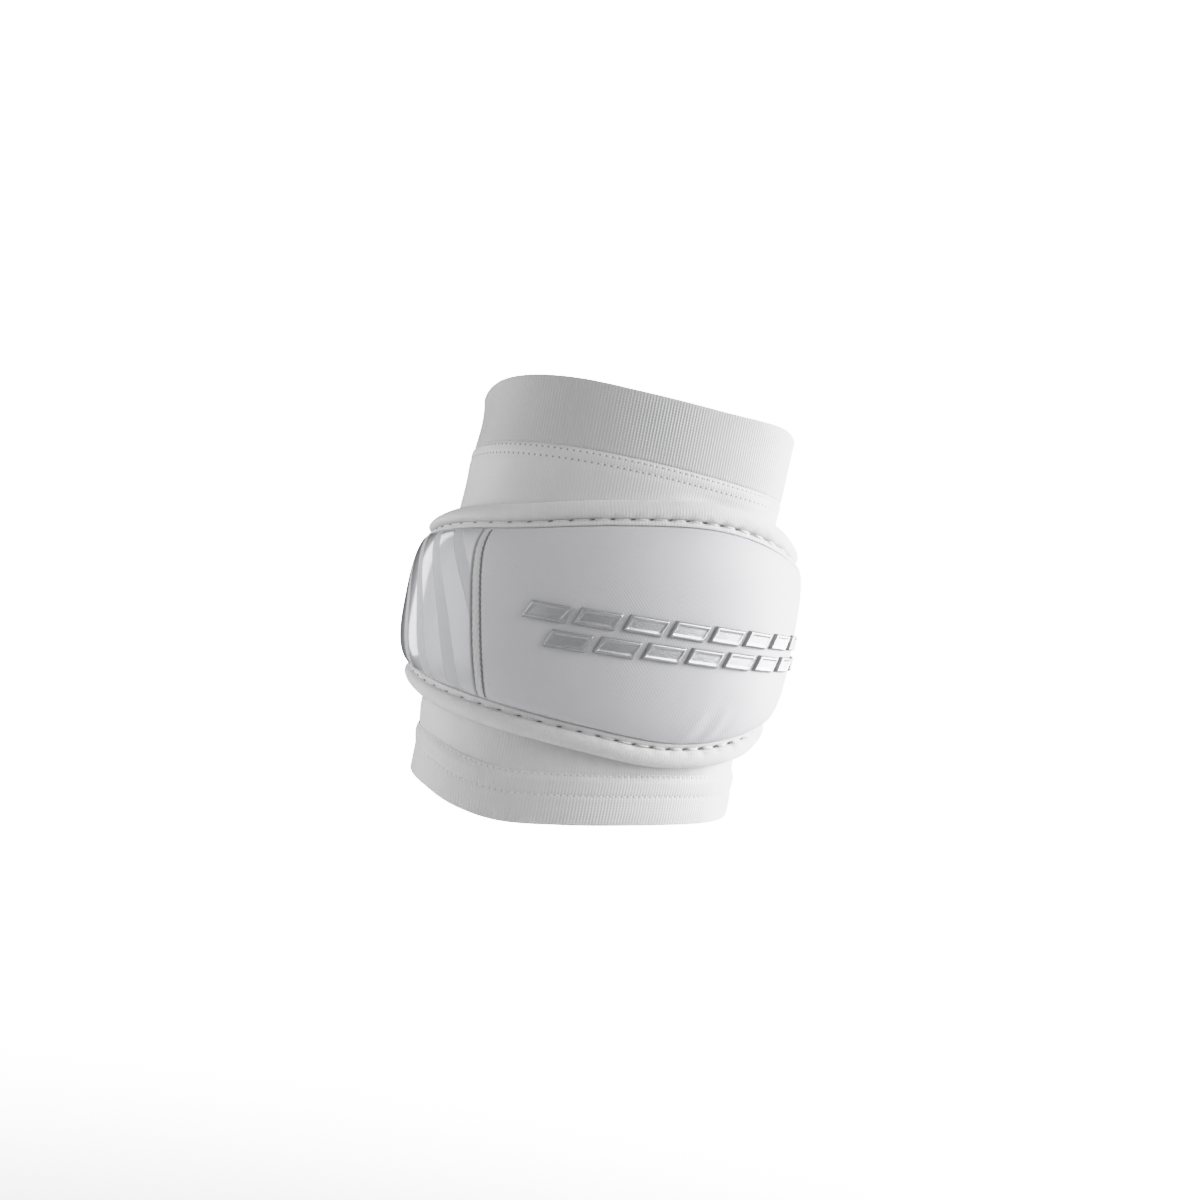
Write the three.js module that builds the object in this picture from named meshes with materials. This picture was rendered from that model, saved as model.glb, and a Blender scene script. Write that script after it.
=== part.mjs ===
// A padded elbow guard as it is worn: a knit sleeve with an upper cuff and a turned lower hem,
// and a domed foam pad that wraps most of the way round it inside a soft sewn border.
// Millimetres, +Z up the arm, -Y towards the front of the pad. The origin is the middle of the arm.
import * as THREE from 'three';

// The sleeve and the arm inside it
const sleeveWidth = 120.4; // side to side over the knit
const sleeveDepth = 104; // front to back over the knit
const frontSkew = 0.28; // how much the section's front bulges to the left
const backSkew = 0.13; // how much its back bulges to the right
const bendRadius = 500; // the arm's slight bend, along its centreline
const sideLean = 0.018; // sideways lean of the arm's upper end, for each length along it
const sleeveWall = 1.6;
const sleeveTop = 47.6; // where the sleeve's knit ends, lapped over the cuff
const rimTop = 70.3; // usual height of the cuff's rim
const rimBottom = 74.2; // usual depth of the hem's rim
const cuffWall = 1.5;
const cuffLap = 7; // how far the cuff is tucked down inside the sleeve
const cuffRise = 0.9; // how far the cuff swells back out above the sleeve's edge
const rimFlare = 0.8; // how far the cuff opens again at its rim
const hemHeight = 17.6;
const hemWall = 1;
const hemTuck = 1.5; // how far the sleeve stops short of the hem's rim
const seamFit = 0.3; // gap between pieces that touch

// The pad and its border
const padRise = 29.8; // from the elbow's middle to the pad's top edge, at its highest
const padDrop = 43; // from the elbow's middle to the pad's bottom edge, at its lowest
const padLeftEnd = -118; // degrees round the arm from the front
const padRightEnd = 150; // degrees round the arm from the front
const endRound = 24; // length over which the pad's outline closes at each end
const endFlat = 0.22; // share of the pad's height that stays at its very end
const padSeat = 0.5; // height of the pad's underside over the sleeve
const padEdge = 6; // usual height of the pad's rim over the sleeve
const padDome = 13.6; // height of the pad's middle over the sleeve
const endSlope = 34; // length over which the dome rises from each end
const domeSquareness = 3.2; // higher is flatter over the middle
const domeRoundness = 0.62; // lower is steeper at the edges
const weltWidth = 1.8;
const weltHeight = 5.6;
const rollWidth = 7.1;
const rollHeight = 6.8;
const grooveWidth = 0.6; // between the welt and the roll, where the border is sewn down
const bankWidth = 9.5; // how far out from the pad the border follows its raised sides
const stripWidth = 2.4; // the seam strip between the glossy cap and the main panel
const stripSink = 0.7; // how far that strip lies below the panels beside it

// The raised bars across the front
const barsPerRow = 8;
const barsStart = -23; // degrees round the arm
const barsEnd = 97; // degrees round the arm
const barsDrop = 10.4; // depth of the rows' middle at their start
const barsClimb = 3.5; // how much higher the rows end than they start
const barHeight = 5.6;
const barRowPitch = 8;
const barGap = 2.4;
const barSlant = 2; // sideways lean over one bar's height
const barThick = 1.2;
const barBevel = 0.6;

// How finely the curved surfaces are divided
const around = 60;
const panelColumns = 26;
const capColumns = 11;
const padRows = 11;
const barColumns = 3;

// The cuff's rim and the hem's rim, as shares of rimTop and rimBottom, round the whole arm
const rims = [
  { angle: -180, top: 0.975, bottom: 0.99 },
  { angle: -120, top: 0.94, bottom: 1 },
  { angle: -85, top: 0.95, bottom: 1 },
  { angle: -60, top: 0.99, bottom: 0.992 },
  { angle: -40, top: 0.999, bottom: 1.02 },
  { angle: -22, top: 0.998, bottom: 1.032 },
  { angle: 0, top: 0.991, bottom: 1.008 },
  { angle: 30, top: 1.002, bottom: 0.983 },
  { angle: 66, top: 1.038, bottom: 0.978 },
  { angle: 90, top: 1.012, bottom: 0.975 },
  { angle: 135, top: 0.99, bottom: 0.975 },
  { angle: 180, top: 0.975, bottom: 0.99 },
];

// The pad's outline, as shares of padRise and padDrop, at angles round the arm
const padOutline = [
  { angle: -130, top: 0.294, bottom: 0.69 },
  { angle: -90, top: 0.375, bottom: 0.765 },
  { angle: -57, top: 0.507, bottom: 0.83 },
  { angle: -30, top: 0.618, bottom: 0.88 },
  { angle: 0, top: 0.82, bottom: 0.944 },
  { angle: 26, top: 0.968, bottom: 1 },
  { angle: 44, top: 0.989, bottom: 0.98 },
  { angle: 64, top: 0.922, bottom: 0.903 },
  { angle: 80, top: 0.817, bottom: 0.82 },
  { angle: 100, top: 0.72, bottom: 0.73 },
  { angle: 125, top: 0.61, bottom: 0.69 },
  { angle: 160, top: 0.5, bottom: 0.67 },
];

// The seam between cap and panel: its angle round the arm at shares of the pad's height
const seamLine = [
  { up: 0, angle: -33 },
  { up: 0.15, angle: -34 },
  { up: 0.4, angle: -36.6 },
  { up: 0.7, angle: -39.8 },
  { up: 0.87, angle: -41.4 },
  { up: 1, angle: -41.8 },
];

// The pad's rim at its top and bottom edge, as shares of padEdge, and the roll's share of rollWidth
const padSides = [
  { angle: -125, top: 1.1, bottom: 1.1, roll: 0.88 },
  { angle: -88, top: 1.6, bottom: 1.38, roll: 0.84 },
  { angle: -62, top: 1.44, bottom: 1.26, roll: 0.97 },
  { angle: -35, top: 1.1, bottom: 1.08, roll: 0.97 },
  { angle: -10, top: 1, bottom: 1, roll: 0.95 },
  { angle: 45, top: 1, bottom: 1, roll: 1.04 },
  { angle: 70, top: 1.3, bottom: 1.18, roll: 1.18 },
  { angle: 92, top: 1.65, bottom: 1.55, roll: 1.32 },
  { angle: 120, top: 1.35, bottom: 1.3, roll: 1.15 },
  { angle: 155, top: 1, bottom: 1, roll: 1 },
];

// The border roll's section: across it from the welt outwards, and up, as shares of its size
const rollSection = [
  { across: 0, up: 0.08 },
  { across: 0, up: 0.62 },
  { across: 0.16, up: 0.92 },
  { across: 0.42, up: 1 },
  { across: 0.7, up: 0.9 },
  { across: 0.92, up: 0.6 },
  { across: 1, up: 0.3 },
  { across: 0.94, up: 0.08 },
  { across: 0.5, up: 0.08 },
];

// The welt's section, in the same way
const weltSection = [
  { across: 0, up: 0.1 },
  { across: 0, up: 0.8 },
  { across: 0.25, up: 1 },
  { across: 0.75, up: 1 },
  { across: 1, up: 0.8 },
  { across: 1, up: 0.1 },
];

// Soft dents and swellings of the knit: where they are, how far they spread, and their height
const knitFolds = [
  { angle: 34, along: 0.83, spreadAngle: 12, spreadAlong: 0.06, height: -1 },
  { angle: 60, along: 0.89, spreadAngle: 11, spreadAlong: 0.05, height: 0.6 },
  { angle: 90, along: 0.84, spreadAngle: 18, spreadAlong: 0.16, height: -1.2 },
  { angle: -76, along: 0.74, spreadAngle: 20, spreadAlong: 0.2, height: -0.9 },
  { angle: -80, along: -1.05, spreadAngle: 25, spreadAlong: 0.11, height: 0.5 },
  { angle: -88, along: 1.26, spreadAngle: 34, spreadAlong: 0.27, height: -1.9 },
  { angle: -88, along: -1.45, spreadAngle: 34, spreadAlong: 0.26, height: -1.8 },
];

const knit = clothMaterial('#d6d6d8', 0.9);
const borderCloth = clothMaterial('#dededf', 0.8);
const panelCloth = clothMaterial('#cfcfd3', 0.62);
const stripCloth = clothMaterial('#c2c2c6', 0.7);
const capGloss = clothMaterial('#c9cacf', 0.18);
const silver = silverMaterial();

function clothMaterial(colour, roughness) {
  return new THREE.MeshStandardMaterial({ color: colour, roughness, metalness: 0 });
}

function silverMaterial() {
  return new THREE.MeshStandardMaterial({ color: '#a3a5a8', roughness: 0.35, metalness: 0.7 });
}

const radians = THREE.MathUtils.degToRad;
const mix = THREE.MathUtils.lerp;

// A smooth curve through a table's rows: the value of one column at a place along another
function follow(rows, key, column, place) {
  let k = rows.findIndex((row) => row[key] > place) - 1;
  if (k < 0) k = place < rows[0][key] ? 0 : rows.length - 2;
  const [a, b, c, d] = [rows[k - 1] ?? rows[k], rows[k], rows[k + 1], rows[k + 2] ?? rows[k + 1]];
  const step = c[key] - b[key];
  const slopeIn = ((c[column] - a[column]) / (c[key] - a[key])) * step;
  const slopeOut = ((d[column] - b[column]) / (d[key] - b[key])) * step;
  const t = THREE.MathUtils.clamp((place - b[key]) / step, 0, 1);
  const rise = t * t * (3 - 2 * t);
  const lead = t * (1 - t) * (1 - t);
  const tail = t * t * (t - 1);
  return mix(b[column], c[column], rise) + slopeIn * lead + slopeOut * tail;
}

// The sleeve's section, an oval that bulges to front left and back right, at a height over it
function sectionPoint(angle, lift) {
  const t = radians(angle);
  const reach = sleeveWidth / 2;
  const depth = sleeveDepth / 2;
  const lean = Math.cos(t) > 0 ? frontSkew : -backSkew;
  const taper = 1 - lean * Math.sin(t);
  const point = new THREE.Vector2(reach * Math.sin(t), -depth * Math.cos(t) * taper);
  const run = reach * Math.cos(t);
  const fall = depth * (Math.sin(t) * taper + lean * Math.cos(t) ** 2);
  const outward = new THREE.Vector2(fall, -run).normalize();
  return { point: point.addScaledVector(outward, lift), rate: radians(1) * Math.hypot(run, fall) };
}

// A point over the bent sleeve: angle round the arm, distance along its centreline, height
function onArm(angle, along, lift) {
  const { point } = sectionPoint(angle, lift);
  const turn = along / bendRadius;
  const y = bendRadius * (1 - Math.cos(turn)) + point.y * Math.cos(turn);
  const z = bendRadius * Math.sin(turn) - point.y * Math.sin(turn);
  return new THREE.Vector3(point.x + sideLean * along, y, z);
}

// Millimetres over the sleeve for each degree round the arm and each millimetre of centreline
function surfaceRates(angle) {
  const { point, rate } = sectionPoint(angle, 0);
  return { perDegree: rate, perAlong: 1 - point.y / bendRadius };
}

function rimAt(angle) {
  return follow(rims, 'angle', 'top', angle) * rimTop;
}

function hemRimAt(angle) {
  return -follow(rims, 'angle', 'bottom', angle) * rimBottom;
}

function foldAt(angle, along) {
  let height = 0;
  for (const fold of knitFolds) {
    const across = (angle - fold.angle) / fold.spreadAngle;
    const up = (along / sleeveTop - fold.along) / fold.spreadAlong;
    height += fold.height * Math.exp(-across * across - up * up);
  }
  return height;
}

// The pad's lower and upper edge at an angle, closing in rounded ends
function padEdges(angle) {
  const top = follow(padOutline, 'angle', 'top', angle) * padRise;
  const bottom = -follow(padOutline, 'angle', 'bottom', angle) * padDrop;
  const left = Math.max(0, (angle - padLeftEnd) * surfaceRates(padLeftEnd).perDegree);
  const right = Math.max(0, (padRightEnd - angle) * surfaceRates(padRightEnd).perDegree);
  const inset = Math.max(0, 1 - Math.min(left, right) / endRound);
  const share = Math.sqrt(1 - inset * inset * (1 - endFlat * endFlat));
  const middle = (top + bottom) / 2;
  return { bottom: mix(middle, bottom, share), top: mix(middle, top, share), left, right };
}

// How far the pad's rim stands over its usual height at an angle and a share up the pad
function edgeSwell(angle, up) {
  const bottom = follow(padSides, 'angle', 'bottom', angle);
  const top = follow(padSides, 'angle', 'top', angle);
  return (mix(bottom, top, up) - 1) * padEdge;
}

function padAlong(angle, up) {
  const { bottom, top } = padEdges(angle);
  return mix(bottom, top, up);
}

// Height of the domed pad over the sleeve, from its rim up to its middle
function domeHeight(angle, up) {
  const { left, right } = padEdges(angle);
  const fromEnd = Math.min(1, Math.min(left, right) / endSlope);
  const overEnd = Math.sqrt(1 - (1 - fromEnd) ** 2);
  const across = Math.abs(2 * up - 1);
  const overWidth = (1 - across ** domeSquareness) ** domeRoundness;
  return mix(padEdge + edgeSwell(angle, up), padDome, overEnd * overWidth);
}

function seamAngle(up) {
  return follow(seamLine, 'up', 'angle', up);
}

// Shares from 0 to 1, closer together towards the far end
function towardsEnd(share) {
  return (share + Math.sin((share * Math.PI) / 2)) / 2;
}

// Shares from 0 to 1 across the pad, closer together at both edges
function towardsEdges(share) {
  return mix(share, (1 - Math.cos(share * Math.PI)) / 2, 0.7);
}

const capShares = divide(capColumns).map((share) => 1 - towardsEnd(1 - share));
const panelShares = divide(panelColumns).map(towardsEnd);
const rowShares = divide(padRows).map(towardsEdges);

function divide(count) {
  return Array.from({ length: count + 1 }, (_, i) => i / count);
}

// The angle of a pad column, with a gap beside the seam that is given as a length
function capAngle(share, up, gap) {
  const seam = seamAngle(up);
  return mix(padLeftEnd, seam - gap / surfaceRates(seam).perDegree, share);
}

function panelAngle(share, up, gap) {
  const seam = seamAngle(up);
  return mix(seam + gap / surfaceRates(seam).perDegree, padRightEnd, share);
}

// The pad's outline as one closed run of places on the sleeve, with the way out at each
function outlineLoop() {
  const places = [];
  const add = (angle, up) => places.push({ angle, up, along: padAlong(angle, up) });
  for (const share of capShares) add(capAngle(share, 0, 0), 0);
  for (const share of panelShares.slice(1)) add(panelAngle(share, 0, 0), 0);
  for (const up of rowShares.slice(1, -1)) if (up > 0.2 && up < 0.8) add(padRightEnd, up);
  for (const share of panelShares.slice(1).reverse()) add(panelAngle(share, 1, 0), 1);
  for (const share of [...capShares].reverse()) add(capAngle(share, 1, 0), 1);
  for (const up of rowShares.slice(1, -1).reverse()) if (up > 0.2 && up < 0.8) add(padLeftEnd, up);
  return places.map((place, i) => {
    const before = places.at(i - 1);
    const after = places[(i + 1) % places.length];
    const { perDegree, perAlong } = surfaceRates(place.angle);
    const run = (after.angle - before.angle) * perDegree;
    const climb = (after.along - before.along) * perAlong;
    const length = Math.hypot(run, climb);
    return { ...place, outAngle: climb / length / perDegree, outAlong: -run / length / perAlong };
  });
}

// A place some distance out from the pad's outline, and some height over the sleeve
function besidePad(place, out, lift) {
  return onArm(place.angle + place.outAngle * out, place.along + place.outAlong * out, lift);
}

// One closed body from its corners and triangles, with its faces pointing out
function closedBody(corners, triangles) {
  let volume = 0;
  for (const [a, b, c] of triangles) {
    volume += corners[a].dot(new THREE.Vector3().crossVectors(corners[b], corners[c]));
  }
  const facing = volume > 0 ? triangles : triangles.map(([a, b, c]) => [a, c, b]);
  const geometry = new THREE.BufferGeometry().setFromPoints(corners);
  geometry.setIndex(facing.flat());
  geometry.computeVertexNormals();
  return geometry;
}

// A closed ring, swept through sections that are each a closed run of points
function ringBody(sections) {
  const width = sections[0].length;
  const triangles = [];
  for (let i = 0; i < sections.length; i += 1) {
    const next = (i + 1) % sections.length;
    for (let j = 0; j < width; j += 1) {
      const over = (j + 1) % width;
      const [a, b] = [i * width + j, next * width + j];
      const [c, d] = [next * width + over, i * width + over];
      triangles.push([a, b, c], [a, c, d]);
    }
  }
  return closedBody(sections.flat(), triangles);
}

// A closed slab between an upper and a lower grid of points, both in columns
function slabBody(upper, lower) {
  const columns = upper.length;
  const rows = upper[0].length;
  const under = columns * rows;
  const at = (i, j) => i * rows + j;
  const triangles = [];
  const quad = (a, b, c, d) => triangles.push([a, b, c], [a, c, d]);
  for (let i = 0; i < columns - 1; i += 1) {
    for (let j = 0; j < rows - 1; j += 1) {
      quad(at(i, j), at(i + 1, j), at(i + 1, j + 1), at(i, j + 1));
      quad(under + at(i, j), under + at(i, j + 1), under + at(i + 1, j + 1), under + at(i + 1, j));
    }
    quad(at(i + 1, 0), at(i, 0), under + at(i, 0), under + at(i + 1, 0));
    const last = rows - 1;
    quad(at(i, last), at(i + 1, last), under + at(i + 1, last), under + at(i, last));
  }
  for (let j = 0; j < rows - 1; j += 1) {
    const last = columns - 1;
    quad(at(0, j), at(0, j + 1), under + at(0, j + 1), under + at(0, j));
    quad(at(last, j + 1), at(last, j), under + at(last, j), under + at(last, j + 1));
  }
  return closedBody([...upper.flat(), ...lower.flat()], triangles);
}

// A band right round the arm: at each angle, a closed section of distance along and height
function bandBody(sectionAt) {
  const sections = [];
  for (let i = 0; i < around; i += 1) {
    const angle = (i / around) * 360 - 180;
    sections.push(sectionAt(angle).map(({ along, lift }) => onArm(angle, along, lift)));
  }
  return ringBody(sections);
}

function named(name, geometry, material) {
  const mesh = new THREE.Mesh(geometry, material);
  mesh.name = name;
  return mesh;
}

// Rows that the sleeve and the hem round it share, from the sleeve's end up to the hem's top
function rowsInHem(angle) {
  const rim = hemRimAt(angle);
  return divide(3).map((share) => mix(rim + hemTuck, rim + hemHeight, share));
}

// The knit sleeve, from just above the hem's rim up to its lap over the cuff
function sleeve() {
  const body = bandBody((angle) => {
    const [low, ...underHem] = rowsInHem(angle);
    const aboveHem = divide(8).map((share) => mix(underHem.at(-1), sleeveTop, share));
    const rowsUp = [low, ...underHem, ...aboveHem.slice(1)];
    const outer = rowsUp.map((along) => ({ along, lift: foldAt(angle, along) }));
    const inner = divide(5).map((share) => {
      const along = mix(sleeveTop, low, share);
      return { along, lift: Math.min(0, foldAt(angle, along)) - sleeveWall };
    });
    return [...outer, ...inner];
  });
  return named('sleeve', body, knit);
}

// The upper cuff, tucked inside the sleeve's top edge and swelling back out above it
function upperCuff() {
  const tucked = -sleeveWall - seamFit;
  const body = bandBody((angle) => {
    const rim = rimAt(angle);
    const low = sleeveTop - cuffLap;
    const inLap = (along) => tucked + Math.min(0, foldAt(angle, along));
    const aboveLap = (along, flare) => ({ along, lift: tucked + cuffRise + flare + foldAt(angle, along) });
    const outer = [
      { along: low, lift: inLap(low) },
      { along: sleeveTop, lift: inLap(sleeveTop) },
      aboveLap(mix(sleeveTop, rim, 0.12), 0),
      aboveLap(mix(sleeveTop, rim, 0.4), 0),
      aboveLap(mix(sleeveTop, rim, 0.72), rimFlare / 2),
      aboveLap(rim - cuffWall / 2, rimFlare),
      aboveLap(rim, rimFlare - cuffWall / 2),
    ];
    const inner = outer.slice(0, -1).reverse();
    return [...outer, ...inner.map(({ along, lift }) => ({ along, lift: lift - cuffWall }))];
  });
  return named('upper_cuff', body, knit);
}

// The lower hem, a band of knit turned up over the sleeve's lower end
function lowerHem() {
  const body = bandBody((angle) => {
    const rim = hemRimAt(angle);
    const rows = [rim + hemWall / 2, ...rowsInHem(angle)];
    const overSleeve = (along, height) => ({ along, lift: seamFit + height + foldAt(angle, along) });
    const foot = overSleeve(rim, hemWall / 2);
    const outer = rows.map((along) => overSleeve(along, hemWall));
    const inner = rows.toReversed().map((along) => overSleeve(along, 0));
    return [foot, ...outer, ...inner];
  });
  return named('lower_hem', body, knit);
}

// One run of the sewn border round the pad: its section, and its width at an angle
function borderBody(section, start, widthAt, height) {
  return ringBody(
    outlineLoop().map((place) => {
      const swell = edgeSwell(place.angle, place.up);
      return section.map(({ across, up }) => {
        const out = start + across * widthAt(place.angle);
        const bank = swell * (1 - (out / bankWidth) ** 2);
        return besidePad(place, out, up * (height + bank));
      });
    }),
  );
}

function borderWelt() {
  const body = borderBody(weltSection, seamFit, () => weltWidth, weltHeight);
  return named('border_welt', body, borderCloth);
}

function borderRoll() {
  const start = seamFit + weltWidth + grooveWidth;
  const widthAt = (angle) => follow(padSides, 'angle', 'roll', angle) * rollWidth;
  const body = borderBody(rollSection, start, widthAt, rollHeight);
  return named('border_roll', body, borderCloth);
}

// A piece of the domed pad between two angles, given at each share and height up the pad
function padBody(shares, angleAt, sink) {
  const grid = (heightAt) =>
    shares.map((share) =>
      rowShares.map((up) => {
        const angle = angleAt(share, up);
        return onArm(angle, padAlong(angle, up), heightAt(angle, up));
      }),
    );
  return slabBody(
    grid((angle, up) => domeHeight(angle, up) - sink),
    grid(() => padSeat),
  );
}

function mainPanel() {
  const gap = stripWidth / 2 + seamFit;
  const body = padBody(panelShares, (share, up) => panelAngle(share, up, gap), 0);
  return named('main_panel', body, panelCloth);
}

function capPanel() {
  const gap = stripWidth / 2 + seamFit;
  const body = padBody(capShares, (share, up) => capAngle(share, up, gap), 0);
  return named('cap_panel', body, capGloss);
}

function seamStrip() {
  const half = stripWidth / 2;
  const angleAt = (share, up) => mix(capAngle(1, up, half), panelAngle(0, up, half), share);
  return named('seam_strip', padBody([0, 0.5, 1], angleAt, stripSink), stripCloth);
}

// A raised slanted bar: its start and end as angles, its middle's depth, on the domed panel
function accentBar(name, start, end, middle) {
  const grid = (inset, lift) =>
    divide(barColumns).map((share) =>
      [-1, 0, 1].map((side) => {
        const rate = surfaceRates((start + end) / 2).perDegree;
        const lean = (side * barSlant) / 2 / rate;
        const from = start + inset / rate;
        const to = end - inset / rate;
        const angle = mix(from, to, share) + lean;
        const along = middle + side * (barHeight / 2 - inset);
        const { bottom, top } = padEdges(angle);
        return onArm(angle, along, domeHeight(angle, (along - bottom) / (top - bottom)) + lift);
      }),
    );
  const body = slabBody(grid(barBevel, seamFit + barThick), grid(0, seamFit));
  return named(name, body, silver);
}

// Two rows of bars laid like bricks, the lower row half a bar behind the upper
function accentBars() {
  const pitch = (barsEnd - barsStart) / (barsPerRow + 0.5);
  const bars = [];
  for (const row of [{ name: 'upper', side: 1, shift: 0 }, { name: 'lower', side: -1, shift: 0.5 }]) {
    for (let i = 0; i < barsPerRow; i += 1) {
      const start = barsStart + (i + row.shift) * pitch;
      const share = (i + row.shift) / barsPerRow;
      const middle = -barsDrop + barsClimb * share + (row.side * barRowPitch) / 2;
      const end = start + pitch - barGap / surfaceRates(start + pitch / 2).perDegree;
      bars.push(accentBar(`accent_bar_${row.name}_${i + 1}`, start, end, middle));
    }
  }
  return bars;
}

const elbowPad = new THREE.Group();
elbowPad.add(sleeve(), upperCuff(), lowerHem());
elbowPad.add(borderRoll(), borderWelt());
elbowPad.add(mainPanel(), capPanel(), seamStrip());
elbowPad.add(...accentBars());

export default elbowPad;
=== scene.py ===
"""An elbow guard in its worn form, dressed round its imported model: knit sleeve, cuff and hem with
their stitches, a domed foam pad in a puffy sewn border, a glossy side cap and raised silver bars.

Sizes are millimetres and degrees, as on the model, and become metres as each mesh is made.
"""
import math

import bpy
import numpy as np
from mathutils import Matrix, Vector, noise


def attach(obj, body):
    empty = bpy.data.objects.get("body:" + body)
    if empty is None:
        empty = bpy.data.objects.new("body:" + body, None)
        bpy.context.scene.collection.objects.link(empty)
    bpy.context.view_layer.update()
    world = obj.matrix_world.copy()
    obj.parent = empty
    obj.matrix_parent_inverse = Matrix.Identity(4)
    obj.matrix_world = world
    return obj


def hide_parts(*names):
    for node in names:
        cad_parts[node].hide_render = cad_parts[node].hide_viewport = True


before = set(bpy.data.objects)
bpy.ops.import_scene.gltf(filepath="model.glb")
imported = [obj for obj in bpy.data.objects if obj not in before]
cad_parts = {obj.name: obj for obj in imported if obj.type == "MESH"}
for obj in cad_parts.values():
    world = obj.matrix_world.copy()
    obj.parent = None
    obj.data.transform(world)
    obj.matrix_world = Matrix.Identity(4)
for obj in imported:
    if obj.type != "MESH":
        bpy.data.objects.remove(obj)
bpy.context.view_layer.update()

MM = 0.001

# The sleeve and the arm inside it
SLEEVE_WIDTH = 120.4
SLEEVE_DEPTH = 104.0
FRONT_SKEW = 0.28
BACK_SKEW = 0.13
BEND_RADIUS = 500.0
SIDE_LEAN = 0.018
SLEEVE_WALL = 1.6
SLEEVE_TOP = 47.6
RIM_TOP = 70.3
RIM_BOTTOM = 74.2
CUFF_WALL = 1.5
CUFF_LAP = 7.0
CUFF_RISE = 0.9
RIM_FLARE = 0.8
HEM_HEIGHT = 17.6
HEM_WALL = 1.0
HEM_TUCK = 1.5
SEAM_FIT = 0.3

# The pad and its border
PAD_RISE = 29.8
PAD_DROP = 43.0
PAD_LEFT_END = -118.0
PAD_RIGHT_END = 150.0
END_ROUND = 24.0
END_FLAT = 0.22
PAD_SEAT = 0.5
PAD_EDGE = 6.0
PAD_DOME = 13.6
END_SLOPE = 34.0
DOME_SQUARENESS = 3.2
DOME_ROUNDNESS = 0.62
WELT_WIDTH = 1.8
WELT_HEIGHT = 5.6
ROLL_WIDTH = 7.1
ROLL_HEIGHT = 6.8
GROOVE_WIDTH = 0.6
BANK_WIDTH = 9.5
STRIP_WIDTH = 2.4
STRIP_SINK = 0.7

# The raised bars
BARS_PER_ROW = 8
BARS_START = -23.0
BARS_END = 97.0
BARS_DROP = 10.4
BARS_CLIMB = 3.5
BAR_HEIGHT = 5.6
BAR_ROW_PITCH = 8.0
BAR_GAP = 2.4
BAR_SLANT = 2.0
BAR_THICK = 1.2
BAR_BEVEL = 0.6

# The knit and its stitches
WALE_PITCH = 1.2  # from rib to rib of the knit
COURSE_PITCH = 0.95  # from loop to loop along a rib
CUFF_STITCH = 2.4
CUFF_ROWS = (46.4, 43.4)  # places of the twin rows along the sleeve
HEM_STITCH = 2.3
HEM_ROWS = (16.8, 10.0)  # heights of the two rows over the hem's rim
GROOVE_STITCH = 6.9
BAND_PITCH = 15.0  # of the cap's glossy bands

# The photograph's camera
CAMERA_DISTANCE = 900.0
CAMERA_SIDE = -1.1
CAMERA_ROLL = 10.0
FRAME_WIDTH = 456.0  # what the frame takes in at the arm's middle
SENSOR = 36.0

# The room's glows: azimuth to the right of the camera, height, strength and sharpness
LAMPS = [(-80, 5, 1.26, 3.0), (-45, 15, 0.37, 3.0), (-60, -50, 0.51, 3.0)]

# The area lamps: name, place and size in metres, and watts
AREA_LAMPS = [
    ("key", (0.95, 0.03, 0.45), (0.7, 0.7), 2.1),
    ("key_front", (0.87, -0.38, 0.45), (0.7, 0.7), 6.6),
    ("key_back", (0.9, 0.35, 0.2), (0.7, 0.7), 12.4),
    ("strip", (-0.75, 0.63, 0.1), (0.28, 0.8), 1.0),
]

# The picture's own tone curve, which holds back the brightest whites
TONE_CURVE = [(0.0, 0.0), (0.3, 0.3), (0.62, 0.62), (0.8, 0.765), (1.0, 0.855), (1.3, 0.89), (3.0, 1.0)]
BACKGROUND = 3.0  # strength of the white that the camera sees round the guard

# Cuff rim and hem rim: degrees round the arm, then shares of RIM_TOP and RIM_BOTTOM
RIMS = [
    (-180, 0.975, 0.99), (-120, 0.94, 1.0), (-85, 0.95, 1.0), (-60, 0.99, 0.992),
    (-40, 0.999, 1.02), (-22, 0.998, 1.032), (0, 0.991, 1.008), (30, 1.002, 0.983),
    (66, 1.038, 0.978), (90, 1.012, 0.975), (135, 0.99, 0.975), (180, 0.975, 0.99),
]

# The pad's outline: degrees round the arm, then shares of PAD_RISE and PAD_DROP
PAD_OUTLINE = [
    (-130, 0.294, 0.69), (-90, 0.375, 0.765), (-57, 0.507, 0.83), (-30, 0.618, 0.88),
    (0, 0.82, 0.944), (26, 0.968, 1.0), (44, 0.989, 0.98), (64, 0.922, 0.903),
    (80, 0.817, 0.82), (100, 0.72, 0.73), (125, 0.61, 0.69), (160, 0.5, 0.67),
]

# The seam between cap and panel: shares up the pad, then degrees round the arm
SEAM_LINE = [(0, -33), (0.15, -34), (0.4, -36.6), (0.7, -39.8), (0.87, -41.4), (1, -41.8)]

# The pad's sides: degrees round, top and bottom rim as shares of PAD_EDGE, roll's share of ROLL_WIDTH
PAD_SIDES = [
    (-125, 1.1, 1.1, 0.88), (-88, 1.6, 1.38, 0.84), (-62, 1.44, 1.26, 0.97), (-35, 1.1, 1.08, 0.97),
    (-10, 1.0, 1.0, 0.95), (45, 1.0, 1.0, 1.04), (70, 1.38, 1.18, 1.18), (92, 1.88, 1.55, 1.32),
    (120, 1.35, 1.3, 1.15), (155, 1.0, 1.0, 1.0),
]

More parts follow.
